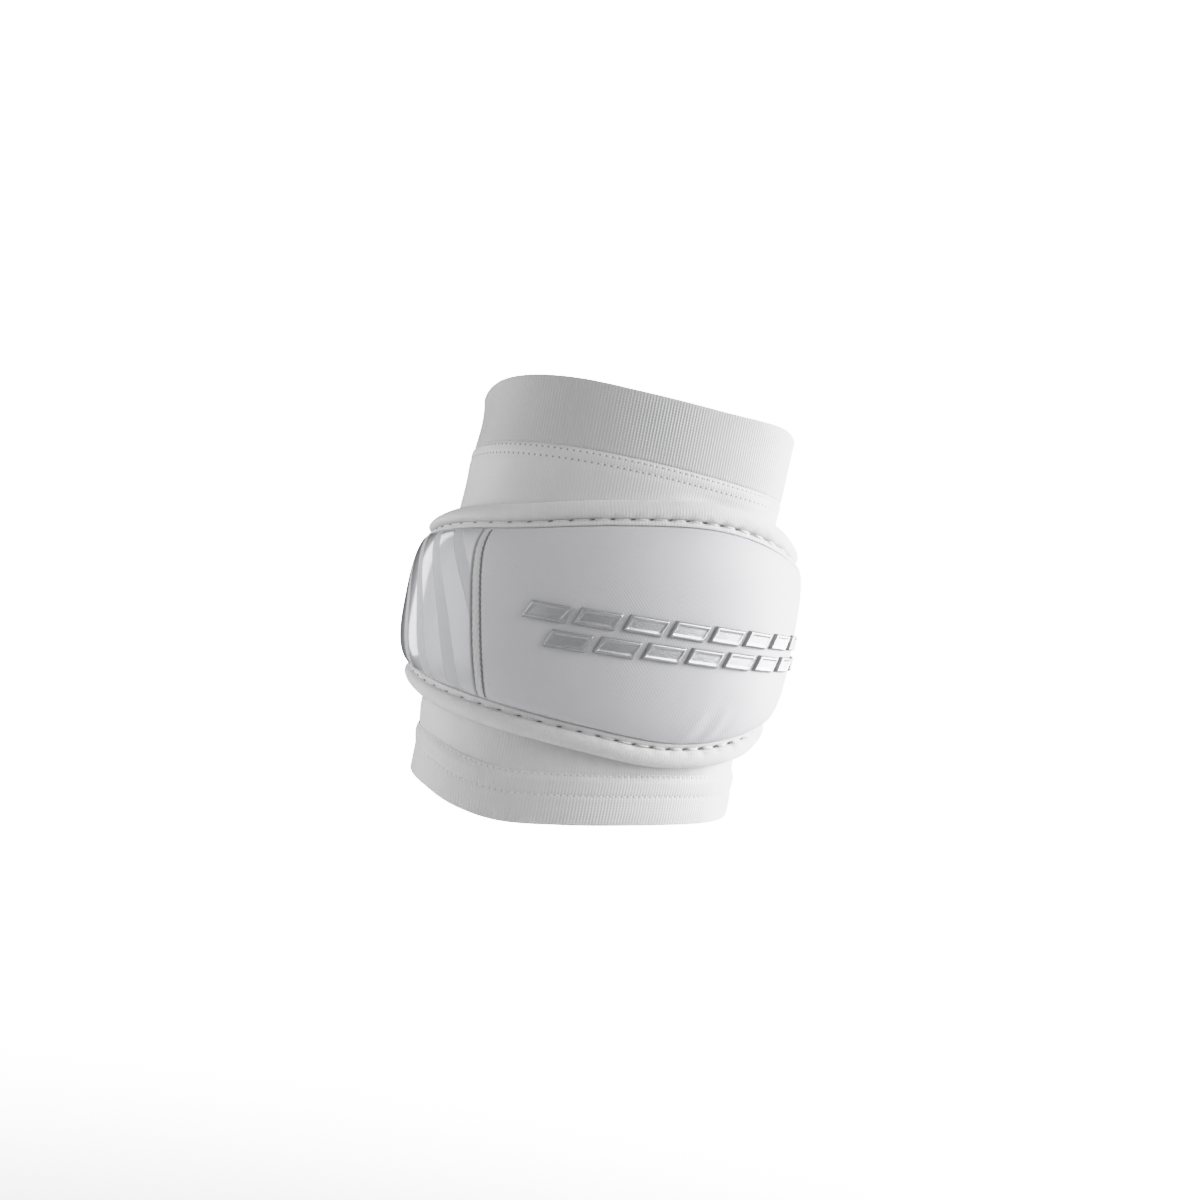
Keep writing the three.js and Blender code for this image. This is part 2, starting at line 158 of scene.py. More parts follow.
# Sections of the border roll and of the welt with its groove: shares across, then shares up
ROLL_SECTION = [
    (0.1, 0.1), (0.01, 0.5), (0.02, 0.75), (0.07, 0.89), (0.2, 0.98), (0.42, 1.0),
    (0.65, 0.93), (0.84, 0.76), (0.97, 0.5), (1.0, 0.28), (0.96, 0.1), (0.5, 0.06),
]
WELT_SECTION = [
    (0.02, 0.1), (0.0, 0.6), (0.01, 0.92), (0.12, 1.02), (0.4, 1.03), (0.72, 0.98),
    (0.95, 0.91), (1.12, 0.86), (1.4, 0.84), (1.43, 0.4), (1.3, 0.1), (0.6, 0.08),
]

# Soft dents and swellings of the knit: degrees round, share of SLEEVE_TOP up, their spreads, height
KNIT_FOLDS = [
    (34, 0.83, 12, 0.06, -1.0),
    (60, 0.89, 11, 0.05, 0.6),
    (90, 0.84, 18, 0.16, -1.2),
    (-76, 0.74, 20, 0.2, -0.9),
    (-80, -1.05, 25, 0.11, 0.5),
    (-88, 1.26, 34, 0.27, -1.9),
    (-88, -1.45, 34, 0.26, -1.8),
]

# Colours, as linear red, green and blue
KNIT_WHITE = (0.775, 0.775, 0.774)
CUFF_WHITE = (0.662, 0.662, 0.668)
BORDER_WHITE = (0.785, 0.785, 0.789)
PANEL_WHITE = (0.708, 0.708, 0.728)
CAP_WHITE = (0.667, 0.672, 0.696)
STRIP_WHITE = (0.72, 0.72, 0.73)
THREAD_WHITE = (0.81, 0.81, 0.812)
THREAD_GREY = (0.27, 0.265, 0.265)
THIN_THREAD = (0.58, 0.57, 0.575)
# Painted shade: the colour of the dark capsules that sit in the groove's needle holes.
HOLE_SHADE = (0.17, 0.155, 0.145)
SILVER = (0.63, 0.635, 0.645)
# A darker copy of the silver for the bars' sides: painted shade.
SHADED_SILVER = (0.5, 0.505, 0.515)


# Smooth curves through tables

def table_curve(rows, column=1, samples=1441):
    """The same smooth curve through a table's rows as on the model, ready for whole arrays."""
    keys = np.array([row[0] for row in rows], float)
    values = np.array([row[column] for row in rows], float)
    last = len(rows) - 1
    slopes = []
    for k in range(len(rows)):
        before, after = max(k - 1, 0), min(k + 1, last)
        slopes.append((values[after] - values[before]) / (keys[after] - keys[before]))
    places = np.linspace(keys[0], keys[-1], samples)
    k = np.clip(np.searchsorted(keys, places, side="right") - 1, 0, last - 1)
    step = keys[k + 1] - keys[k]
    t = (places - keys[k]) / step
    slopes = np.array(slopes)
    curve = (
        values[k] + (values[k + 1] - values[k]) * t * t * (3 - 2 * t)
        + slopes[k] * step * t * (1 - t) ** 2
        + slopes[k + 1] * step * t * t * (t - 1)
    )
    return lambda place: np.interp(place, places, curve)


rim_share = table_curve(RIMS, 1)
hem_share = table_curve(RIMS, 2)
pad_top_share = table_curve(PAD_OUTLINE, 1)
pad_bottom_share = table_curve(PAD_OUTLINE, 2)
seam_angle = table_curve(SEAM_LINE, 1)
top_rise = table_curve(PAD_SIDES, 1)
bottom_rise = table_curve(PAD_SIDES, 2)
roll_share = table_curve(PAD_SIDES, 3)


# The arm's surface

def section(angle):
    """The sleeve's section: point, outward direction and millimetres for each degree."""
    t = np.radians(angle)
    lean = np.where(np.cos(t) > 0, FRONT_SKEW, -BACK_SKEW)
    taper = 1 - lean * np.sin(t)
    x = SLEEVE_WIDTH / 2 * np.sin(t)
    y = -SLEEVE_DEPTH / 2 * np.cos(t) * taper
    run = SLEEVE_WIDTH / 2 * np.cos(t)
    fall = SLEEVE_DEPTH / 2 * (np.sin(t) * taper + lean * np.cos(t) ** 2)
    length = np.hypot(run, fall)
    return x, y, fall / length, -run / length, np.radians(1) * length


def on_arm(angle, along, lift):
    """Points over the bent sleeve, in millimetres, for arrays of angle, distance along and height."""
    angle, along, lift = np.broadcast_arrays(*(np.asarray(v, float) for v in (angle, along, lift)))
    x, y, out_x, out_y, _ = section(angle)
    x, y = x + out_x * lift, y + out_y * lift
    turn = along / BEND_RADIUS
    return np.stack([
        x + SIDE_LEAN * along,
        BEND_RADIUS * (1 - np.cos(turn)) + y * np.cos(turn),
        BEND_RADIUS * np.sin(turn) - y * np.sin(turn),
    ], axis=-1)


def surface_rates(angle):
    """Millimetres for each degree round the arm and each millimetre of centreline."""
    _, y, _, _, rate = section(angle)
    return rate, 1 - y / BEND_RADIUS


arc_angles = np.linspace(-180, 180, 3601)
arc_rates = section(arc_angles)[4]
arc_lengths = np.concatenate([[0], np.cumsum((arc_rates[1:] + arc_rates[:-1]) / 2)])
arc_lengths *= arc_angles[1] - arc_angles[0]
GIRTH = arc_lengths[-1]


def arc_at(angle):
    return np.interp(angle, arc_angles, arc_lengths)


def angle_at(arc):
    return np.interp(np.mod(arc, GIRTH), arc_lengths, arc_angles)


def rim_at(angle):
    return rim_share(angle) * RIM_TOP


def hem_rim_at(angle):
    return -hem_share(angle) * RIM_BOTTOM


def bump_at(value, centre, spread):
    return np.exp(-(((value - centre) / spread) ** 2))


def wander(points, scale, seed):
    """Smooth noise between about -1 and 1 at points in millimetres."""
    flat = points.reshape(-1, 3) / scale + np.array([seed * 17.3, seed * 5.1, seed * 9.7])
    values = [noise.noise(Vector(p)) for p in flat]
    return np.array(values).reshape(points.shape[:-1])


# The pad's outline and dome

def pad_edges(angle):
    """Bottom and top of the pad, and the distances from its two ends, at angles round the arm."""
    top = pad_top_share(angle) * PAD_RISE
    bottom = -pad_bottom_share(angle) * PAD_DROP
    left = np.maximum(0, (angle - PAD_LEFT_END) * surface_rates(PAD_LEFT_END)[0])
    right = np.maximum(0, (PAD_RIGHT_END - angle) * surface_rates(PAD_RIGHT_END)[0])
    inset = np.maximum(0, 1 - np.minimum(left, right) / END_ROUND)
    share = np.sqrt(1 - inset * inset * (1 - END_FLAT * END_FLAT))
    middle = (top + bottom) / 2
    return middle + (bottom - middle) * share, middle + (top - middle) * share, left, right


def edge_swell(angle, up):
    """How far the pad's rim stands over its usual height."""
    low, high = bottom_rise(angle), top_rise(angle)
    return (low + (high - low) * up - 1) * PAD_EDGE


def pad_along(angle, up):
    bottom, top, _, _ = pad_edges(angle)
    return bottom + (top - bottom) * up


def dome_height(angle, up):
    _, _, left, right = pad_edges(angle)
    from_end = np.minimum(1, np.minimum(left, right) / END_SLOPE)
    over_end = np.sqrt(1 - (1 - from_end) ** 2)
    across = np.clip(np.abs(2 * up - 1), 0, 1)
    over_width = (1 - across ** DOME_SQUARENESS) ** DOME_ROUNDNESS
    edge = PAD_EDGE + edge_swell(angle, up)
    return edge + (PAD_DOME - edge) * over_end * over_width


def outline_loop(spacing):
    """The pad's outline as evenly spaced places: angle, along, and the way out at each."""
    def ends(count):
        share = np.linspace(0, 1, count)
        return (1 - np.cos(share * math.pi)) / 2

    angles = PAD_LEFT_END + (PAD_RIGHT_END - PAD_LEFT_END) * ends(900)
    bottom, top, _, _ = pad_edges(angles)
    side = np.linspace(0, 1, 40)[1:-1]
    right_side = np.full(side.shape, PAD_RIGHT_END)
    left_side = np.full(side.shape, PAD_LEFT_END)
    angle = np.concatenate([angles, right_side, angles[::-1], left_side])
    up = np.concatenate([0 * angles, side, 0 * angles + 1, side[::-1]])
    along = np.concatenate([
        bottom, bottom[-1] + (top[-1] - bottom[-1]) * side,
        top[::-1], top[0] + (bottom[0] - top[0]) * side,
    ])
    rate, per_along = surface_rates(angle)
    step_angle = np.diff(angle, append=angle[0]) * rate
    step_along = np.diff(along, append=along[0]) * per_along
    run = np.concatenate([[0], np.cumsum(np.hypot(step_angle, step_along))])
    count = int(round(run[-1] / spacing))
    places = np.linspace(0, run[-1], count, endpoint=False)
    angle = np.interp(places, run, np.append(angle, angle[0]))
    along = np.interp(places, run, np.append(along, along[0]))
    up = np.interp(places, run, np.append(up, up[0]))
    reach = max(2, int(round(3.0 / spacing)))
    arc = arc_at(angle)
    per_along = surface_rates(angle)[1]
    run_arc = np.roll(arc, -reach) - np.roll(arc, reach)
    run_along = (np.roll(along, -reach) - np.roll(along, reach)) * per_along
    length = np.hypot(run_arc, run_along)
    return {
        "angle": angle, "along": along, "up": up, "place": places, "length": run[-1],
        "swell": edge_swell(angle, up), "roll": roll_share(angle),
        "out_arc": run_along / length, "out_along": -run_arc / length / per_along,
    }


def beside_pad(loop, out, lift):
    angle = angle_at(arc_at(loop["angle"]) + loop["out_arc"] * out)
    along = loop["along"] + loop["out_along"] * out
    return on_arm(angle, along, lift)


# Meshes

def mesh_object(name, points, faces, materials, corner_uv=None, face_material=None):
    """One smooth-shaded object from points in millimetres, with its faces pointing out."""
    points = np.asarray(points, float).reshape(-1, 3)
    mesh = bpy.data.meshes.new(name)
    mesh.from_pydata((points * MM).tolist(), [], [list(map(int, face)) for face in faces])
    if corner_uv is not None:
        layer = mesh.uv_layers.new(name="cloth")
        layer.data.foreach_set("uv", np.asarray(corner_uv, float).ravel())
    for material in materials:
        mesh.materials.append(material)
    if face_material is not None:
        mesh.polygons.foreach_set("material_index", np.asarray(face_material, int))
    mesh.shade_smooth()
    mesh.validate()
    mesh.update()
    made = bpy.data.objects.new(name, mesh)
    bpy.context.scene.collection.objects.link(made)
    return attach(made, "root")


def volume_sign(points, faces):
    quads = points[faces]
    crossed = np.cross(quads[:, 1], quads[:, 2]) + np.cross(quads[:, 2], quads[:, 3])
    return np.sign(np.einsum("ij,ij->", quads[:, 0], crossed))


def grid_object(name, grid, uv, material, wrap_u=False, caps=False):
    """A body swept from closed sections: grid[column][place in section]. uv has one more place."""
    columns, places = grid.shape[:2]
    points = grid.reshape(-1, 3)
    i = np.arange(columns if wrap_u else columns - 1)
    j = np.arange(places)
    i, j = np.meshgrid(i, j, indexing="ij")
    i2, j2 = (i + 1) % columns, (j + 1) % places
    corners = [(i, j), (i2, j), (i2, j2), (i, j2)]
    uv_corners = [(i, j), (i + 1, j), (i + 1, j + 1), (i, j + 1)]
    faces = np.stack([a * places + b for a, b in corners], axis=-1).reshape(-1, 4)
    face_uv = np.stack([uv[a, b] for a, b in uv_corners], axis=-2).reshape(-1, 4, 2)
    if volume_sign(points, faces) < 0:
        faces, face_uv = faces[:, ::-1], face_uv[:, ::-1]
        cap_order = -1
    else:
        cap_order = 1
    face_list = faces.tolist()
    corner_uv = face_uv.reshape(-1, 2)
    if caps:
        for column, order in ((0, cap_order), (columns - 1, -cap_order)):
            ring = [column * places + k for k in range(places)][::order]
            face_list.append(ring)
            corner_uv = np.concatenate([corner_uv, uv[column, :places][::order]])
    return mesh_object(name, points, face_list, [material], corner_uv)


def smooth_section(section_rows, count):
    """A closed section, smoothed through its listed points: arrays of shares across and up."""
    rows = np.array(section_rows, float)
    steps = np.hypot(*(np.roll(rows, -1, axis=0) - rows).T)
    place = np.concatenate([[0], np.cumsum(steps)])
    wanted = np.linspace(0, place[-1], count, endpoint=False)
    smooth = []
    for column in range(2):
        values = np.append(rows[:, column], rows[0, column])
        padded_place = np.concatenate([place[-4:-1] - place[-1], place, place[1:4] + place[-1]])
        padded_values = np.concatenate([values[-4:-1], values, values[1:4]])
        curve = table_curve(list(zip(padded_place, padded_values)), samples=4000)
        smooth.append(curve(wanted))
    return smooth


def stitches_object(name, centres, tangents, normals, length, radius, sag, material, flat=1.0):
    """Short threads that dive into the cloth at both ends, all in one mesh."""
    rings, sides = 7, 8
    share = np.linspace(-1, 1, rings)
    width = np.sqrt(np.clip(1 - np.abs(share) ** 2.6, 0.02, 1))
    turn = np.arange(sides) * 2 * math.pi / sides
    along = np.repeat(share * 0.5, sides)
    across = np.outer(width, np.cos(turn)).ravel()
    up = np.outer(width, np.sin(turn)).ravel() * flat
    drop = np.repeat(-(share ** 2), sides)
    tangents = tangents / np.linalg.norm(tangents, axis=-1, keepdims=True)
    sideways = np.cross(normals, tangents)
    sideways /= np.linalg.norm(sideways, axis=-1, keepdims=True)
    length = np.broadcast_to(length, len(centres))
    radius = np.broadcast_to(radius, len(centres))
    points = (
        centres[:, None, :]
        + tangents[:, None, :] * (along[None, :, None] * length[:, None, None])
        + sideways[:, None, :] * (across[None, :, None] * radius[:, None, None])
        + normals[:, None, :] * (up[None, :, None] * radius[:, None, None] + drop[None, :, None] * sag)
    )
    faces = []
    for r in range(rings - 1):
        for s in range(sides):
            faces.append([r * sides + s, r * sides + (s + 1) % sides,
                          (r + 1) * sides + (s + 1) % sides, (r + 1) * sides + s])
    start_cap = list(range(sides))[::-1]
    end_cap = [(rings - 1) * sides + s for s in range(sides)]
    unit = faces + [start_cap, end_cap]
    if volume_sign(points[0], np.array(faces)) < 0:
        unit = [face[::-1] for face in unit]
    all_faces = [[index + k * rings * sides for index in face] for k in range(len(centres)) for face in unit]
    return mesh_object(name, points, all_faces, [material])


def run_frames(points):
    """Directions along a closed run of points."""
    return np.roll(points, -1, axis=0) - np.roll(points, 1, axis=0)


# Materials

def new_material(name):
    material = bpy.data.materials.new(name)
    material.use_nodes = True
    nodes = material.node_tree.nodes
    shader = nodes["Principled BSDF"]
    return material, material.node_tree, shader


def math_node(tree, operation, first, second=None, third=None):
    """A math node on sockets or plain numbers, and its result's socket."""
    node = tree.nodes.new("ShaderNodeMath")
    node.operation = operation
    for index, value in enumerate((first, second, third)):
        if value is None:
            continue
        if isinstance(value, (int, float)):
            node.inputs[index].default_value = value
        else:
            tree.links.new(value, node.inputs[index])
    return node.outputs[0]


def cloth_axes(tree):
    """The cloth's own coordinates, in millimetres across and along."""
    uv = tree.nodes.new("ShaderNodeUVMap")
    uv.uv_map = "cloth"
    split = tree.nodes.new("ShaderNodeSeparateXYZ")
    tree.links.new(uv.outputs[0], split.inputs[0])
    return split.outputs[0], split.outputs[1]


def noise_value(tree, scale, detail=2.0, roughness=0.5):
    """Noise in the object's own space, with its scale in waves for each metre."""
    coordinates = tree.nodes.new("ShaderNodeTexCoord")
    texture = tree.nodes.new("ShaderNodeTexNoise")
    texture.inputs["Scale"].default_value = scale
    texture.inputs["Detail"].default_value = detail
    texture.inputs["Roughness"].default_value = roughness
    tree.links.new(coordinates.outputs["Object"], texture.inputs["Vector"])
    return texture.outputs["Fac"]


def wave(tree, value, pitch, phase=0.0):
    """A cosine of a length, from -1 to 1, with one wave to each pitch."""
    turned = math_node(tree, "MULTIPLY_ADD", value, 2 * math.pi / pitch, phase)
    return math_node(tree, "COSINE", turned)


def tinted(tree, colour, shade):
    """A colour multiplied by a shade socket."""
    mix = tree.nodes.new("ShaderNodeMix")
    mix.data_type = "RGBA"
    mix.blend_type = "MULTIPLY"
    mix.inputs[0].default_value = 1.0
    mix.inputs[6].default_value = (*colour, 1)
    grey = tree.nodes.new("ShaderNodeCombineColor")
    for channel in range(3):
        tree.links.new(shade, grey.inputs[channel])
    tree.links.new(grey.outputs[0], mix.inputs[7])
    return mix.outputs[2]


def bumped(tree, shader, height, distance, strength=1.0):
    bump = tree.nodes.new("ShaderNodeBump")
    bump.inputs["Strength"].default_value = strength
    bump.inputs["Distance"].default_value = distance
    tree.links.new(height, bump.inputs["Height"])
    tree.links.new(bump.outputs[0], shader.inputs["Normal"])


def row_holes(tree, across, along, row, pitch):
    """Needle holes along one row: 1 in a hole, 0 elsewhere. The knit paints shade into these holes and dents them."""
    hole_size = 0.42
    phase = math_node(tree, "FRACT", math_node(tree, "DIVIDE", across, pitch))
    side = math_node(tree, "MULTIPLY", math_node(tree, "SUBTRACT", phase, 0.5), pitch)
    rise = math_node(tree, "SUBTRACT", along, row)
    square = math_node(tree, "ADD", math_node(tree, "POWER", side, 2.0), math_node(tree, "POWER", rise, 2.0))
    distance = math_node(tree, "SQRT", square)
    inside = math_node(tree, "DIVIDE", math_node(tree, "SUBTRACT", hole_size, distance), hole_size * 0.6)
    return math_node(tree, "MINIMUM", math_node(tree, "MAXIMUM", inside, 0.0), 1.0)


def knit_material(name, colour, rows=(), stitch=CUFF_STITCH, rib_depth_and_shade=1.0, hole_painted_shade=0.6):
    """White ribbed knit: rows of loops on fine ribs with painted shade in the valleys between them, soft tone
    changes, and needle holes darkened with painted shade.
    """
    material, tree, shader = new_material(name)
    across, along = cloth_axes(tree)
    rib = wave(tree, across, WALE_PITCH)
    lean = math_node(tree, "ABSOLUTE", math_node(tree, "SUBTRACT",
                     math_node(tree, "FRACT", math_node(tree, "DIVIDE", across, WALE_PITCH)), 0.5))
    loops_at = math_node(tree, "MULTIPLY_ADD", lean, COURSE_PITCH, along)
    loop = wave(tree, loops_at, COURSE_PITCH)
    cloud = noise_value(tree, 90.0, 3.0)
    grain = noise_value(tree, 2600.0, 2.0)
    height = math_node(tree, "MULTIPLY_ADD", loop, 0.28, rib)
    height = math_node(tree, "MULTIPLY_ADD", grain, 0.5, height)
    # Painted shade: the colour is darkened in the valleys between ribs and between loops, and lightened on their
    # ridges.
    shade = math_node(tree, "MULTIPLY_ADD", rib, 0.022 * rib_depth_and_shade, 0.955)
    shade = math_node(tree, "MULTIPLY_ADD", cloud, 0.05, shade)
    shade = math_node(tree, "MULTIPLY_ADD", loop, 0.008, shade)
    for row in rows:
        holes = row_holes(tree, across, along, row, stitch)
        # Painted shade: each needle hole is darkened in the colour, as well as dented in the bump.
        shade = math_node(tree, "MULTIPLY_ADD", holes, -hole_painted_shade, shade)
        height = math_node(tree, "MULTIPLY_ADD", holes, -3.0, height)
    tree.links.new(tinted(tree, colour, shade), shader.inputs["Base Color"])
    shader.inputs["Roughness"].default_value = 0.88
    shader.inputs["Sheen Weight"].default_value = 0.25
    shader.inputs["Sheen Roughness"].default_value = 0.5
    shader.inputs["Specular IOR Level"].default_value = 0.25
    bumped(tree, shader, height, 0.00006 * rib_depth_and_shade)
    return material


def panel_material():
    """Smooth coated cloth with a faint diagonal twill under it."""
    material, tree, shader = new_material("coated_cloth")
    across, along = cloth_axes(tree)
    slanted = math_node(tree, "MULTIPLY_ADD", along, 0.95, across)
    twill = wave(tree, slanted, 1.4)
    cloud = noise_value(tree, 45.0, 3.0)
    fine = noise_value(tree, 900.0, 4.0, 0.6)
    height = math_node(tree, "MULTIPLY_ADD", fine, 0.6, math_node(tree, "MULTIPLY", twill, 0.4))
    shade = math_node(tree, "MULTIPLY_ADD", twill, 0.011, 0.965)
    shade = math_node(tree, "MULTIPLY_ADD", cloud, 0.035, shade)
    speck = math_node(tree, "GREATER_THAN", noise_value(tree, 700.0, 0.0), 0.86)
    shade = math_node(tree, "MULTIPLY_ADD", speck, -0.05, shade)
    tree.links.new(tinted(tree, PANEL_WHITE, shade), shader.inputs["Base Color"])
    rough = math_node(tree, "MULTIPLY_ADD", cloud, 0.1, 0.52)
    tree.links.new(rough, shader.inputs["Roughness"])
    shader.inputs["Specular IOR Level"].default_value = 0.3
    bumped(tree, shader, height, 0.00003)
    return material


def cap_material():
    """Coated cloth printed with broad, slanted, glossy bands in nearly its own tone."""
    material, tree, shader = new_material("gloss_cap")
    across, along = cloth_axes(tree)
    bow = math_node(tree, "MULTIPLY", math_node(tree, "MULTIPLY", along, along), 0.006)
    slanted = math_node(tree, "MULTIPLY_ADD", along, 0.62, math_node(tree, "ADD", across, bow))
    share = math_node(tree, "FRACT", math_node(tree, "MULTIPLY_ADD", slanted, 1 / BAND_PITCH, 0.25))
    reach = math_node(tree, "ABSOLUTE", math_node(tree, "SUBTRACT", share, 0.5))
    edge = tree.nodes.new("ShaderNodeMapRange")
    edge.interpolation_type = "SMOOTHSTEP"
    edge.inputs["From Min"].default_value = 0.325
    edge.inputs["From Max"].default_value = 0.31
    tree.links.new(reach, edge.inputs["Value"])
    gloss = edge.outputs[0]
    rim = math_node(tree, "LESS_THAN", math_node(tree, "ABSOLUTE", math_node(tree, "SUBTRACT", reach, 0.32)), 0.009)
    cloud = noise_value(tree, 60.0, 2.0)
    shade = math_node(tree, "MULTIPLY_ADD", gloss, 0.06, 0.93)
    shade = math_node(tree, "MULTIPLY_ADD", rim, -0.09, shade)
    shade = math_node(tree, "MULTIPLY_ADD", cloud, 0.03, shade)
    tree.links.new(tinted(tree, CAP_WHITE, shade), shader.inputs["Base Color"])
    rough = math_node(tree, "MULTIPLY_ADD", gloss, -0.3, 0.5)
    tree.links.new(rough, shader.inputs["Roughness"])
    coat = math_node(tree, "MULTIPLY", gloss, 0.8)
    tree.links.new(coat, shader.inputs["Coat Weight"])
    shader.inputs["Coat Roughness"].default_value = 0.08
    fine = noise_value(tree, 900.0, 4.0, 0.6)
    grain = math_node(tree, "MULTIPLY", fine, math_node(tree, "SUBTRACT", 1.0, gloss))
    height = math_node(tree, "MULTIPLY_ADD", gloss, 2.5, grain)
    bumped(tree, shader, height, 0.00003)
    return material


def thread_material(name, colour, roughness=0.7):
    """Twisted thread: its tone breaks up at the scale of its plies."""
    material, tree, shader = new_material(name)
    plies = noise_value(tree, 1800.0, 2.0)
    shade = math_node(tree, "MULTIPLY_ADD", plies, 0.5, 0.75)
    tree.links.new(tinted(tree, colour, shade), shader.inputs["Base Color"])
    shader.inputs["Roughness"].default_value = roughness
    bumped(tree, shader, plies, 0.0001)
    return material


def silver_material(name, colour, metallic, roughness):
    """Printed silver plastic with a coarse, slightly uneven grain."""
    material, tree, shader = new_material(name)
    grain = noise_value(tree, 1500.0, 4.0, 0.7)
    cloud = noise_value(tree, 70.0, 1.0)
    shade = math_node(tree, "MULTIPLY_ADD", grain, 0.35, 0.72)
    shade = math_node(tree, "MULTIPLY_ADD", cloud, 0.15, shade)
    tree.links.new(tinted(tree, colour, shade), shader.inputs["Base Color"])
    rough = math_node(tree, "MULTIPLY_ADD", grain, 0.2, roughness - 0.1)
    tree.links.new(rough, shader.inputs["Roughness"])
    shader.inputs["Metallic"].default_value = metallic
    bumped(tree, shader, grain, 0.00012)
    return material


# Camera, floor and light

def make_camera():
    roll = math.radians(CAMERA_ROLL)
    right = Vector((math.cos(roll), 0, math.sin(roll)))
    up = Vector((-math.sin(roll), 0, math.cos(roll)))
    back = right.cross(up)
    place = Vector((CAMERA_SIDE, -CAMERA_DISTANCE, 0)) * MM
    data = bpy.data.cameras.new("camera")
    data.sensor_width = SENSOR
    data.lens = SENSOR * CAMERA_DISTANCE / FRAME_WIDTH
    camera = bpy.data.objects.new("camera", data)
    turned = Matrix((right, up, back)).transposed().to_4x4()
    camera.matrix_world = Matrix.Translation(place) @ turned
    bpy.context.scene.collection.objects.link(camera)
    bpy.context.scene.camera = camera


def make_floor():
    """A plain pale floor that the guard is held above. Far out it thins away into the white room."""
    drop = 0.45
    half = 1.3
    mesh = bpy.data.meshes.new("floor")
    corners = [(-half, -half, -drop), (half, -half, -drop), (half, half, -drop), (-half, half, -drop)]
    mesh.from_pydata(corners, [], [(0, 1, 2, 3)])
    material, tree, shader = new_material("pale_floor")
    mottle = noise_value(tree, 3.0)
    shade = math_node(tree, "MULTIPLY_ADD", mottle, 0.02, 0.97)
    tree.links.new(tinted(tree, (0.8, 0.8, 0.8), shade), shader.inputs["Base Color"])
    shader.inputs["Roughness"].default_value = 0.9
    coordinates = tree.nodes.new("ShaderNodeTexCoord")
    distance = tree.nodes.new("ShaderNodeVectorMath")
    distance.operation = "LENGTH"
    tree.links.new(coordinates.outputs["Object"], distance.inputs[0])
    thinning = tree.nodes.new("ShaderNodeMapRange")
    thinning.interpolation_type = "SMOOTHSTEP"
    thinning.inputs["From Min"].default_value = math.hypot(drop, 0.35)
    thinning.inputs["From Max"].default_value = math.hypot(drop, 1.2)
    thinning.inputs["To Min"].default_value = 1.0
    thinning.inputs["To Max"].default_value = 0.0
    tree.links.new(distance.outputs["Value"], thinning.inputs["Value"])
    tree.links.new(thinning.outputs[0], shader.inputs["Alpha"])
    mesh.materials.append(material)
    floor = bpy.data.objects.new("floor", mesh)
    bpy.context.scene.collection.objects.link(floor)


def set_tones():
    """Sets the view: standard colours under one soft shoulder."""
    view = bpy.context.scene.view_settings
    view.view_transform = "Standard"
    view.use_curve_mapping = True
    mapping = view.curve_mapping
    mapping.clip_max_x = mapping.clip_max_y = BACKGROUND
    points = mapping.curves[3].points
    points[0].location = TONE_CURVE[0]
    points[1].location = TONE_CURVE[-1]
    for place in TONE_CURVE[1:-1]:
        points.new(*place)
    mapping.update()


def area_light(name, place, size, power, target=(0, 0, 0)):
    data = bpy.data.lights.new(name, "AREA")
    data.shape = "RECTANGLE"
    data.size, data.size_y = size
    data.energy = power
    light = bpy.data.objects.new(name, data)
    light.location = place
    light.visible_camera = False
    light.rotation_euler = (Vector(target) - Vector(place)).to_track_quat("-Z", "Y").to_euler()
    bpy.context.scene.collection.objects.link(light)


def glow(tree, direction, azimuth, height, strength, sharpness):
    """A soft glow on the room's wall, brightest at an azimuth to the right of the camera's side."""
    azimuth, height = math.radians(azimuth), math.radians(height)
    middle = (math.sin(azimuth) * math.cos(height), -math.cos(azimuth) * math.cos(height), math.sin(height))
    product = tree.nodes.new("ShaderNodeVectorMath")
    product.operation = "DOT_PRODUCT"
    product.inputs[1].default_value = middle
    tree.links.new(direction, product.inputs[0])
    facing = math_node(tree, "MAXIMUM", product.outputs["Value"], 0.0)
    return math_node(tree, "MULTIPLY", math_node(tree, "POWER", facing, sharpness), strength)


def make_light():
    """A white room whose lamps are soft: one low at the front left, the others at the right and behind."""
    world = bpy.data.worlds.new("studio")
    bpy.context.scene.world = world
    world.use_nodes = True
    tree = world.node_tree
    direction = tree.nodes.new("ShaderNodeTexCoord").outputs["Generated"]
    level = math_node(tree, "ADD", 0.0, 0.0)
    for lamp in LAMPS:
        level = math_node(tree, "ADD", level, glow(tree, direction, *lamp))
    seen = tree.nodes.new("ShaderNodeLightPath").outputs["Is Camera Ray"]
    level = math_node(tree, "MAXIMUM", level, math_node(tree, "MULTIPLY", seen, BACKGROUND))
    grey = tree.nodes.new("ShaderNodeCombineColor")
    for channel in range(3):
        tree.links.new(level, grey.inputs[channel])
    tree.links.new(grey.outputs[0], tree.nodes["Background"].inputs[0])
    for name, place, size, power in AREA_LAMPS:
        area_light(name, place, size, power)


# Pieces

def fold_at(angle, along):
    """How far the dents and swellings of the knit take it from the sleeve's plain form."""
    lift = np.zeros(np.broadcast(angle, along).shape)
    for turn, up, spread_turn, spread_up, height in KNIT_FOLDS:
        lift = lift + height * bump_at(angle, turn, spread_turn) * bump_at(along / SLEEVE_TOP, up, spread_up)
    return lift


def knit_lift(angle, along):
    """How far the sleeve's knit stands over its plain form: folds, and a dip at each twin row."""
    lift = fold_at(angle, along)
    for row in CUFF_ROWS:
        lift = lift - 0.28 * bump_at(along, row, 0.7)
    return lift


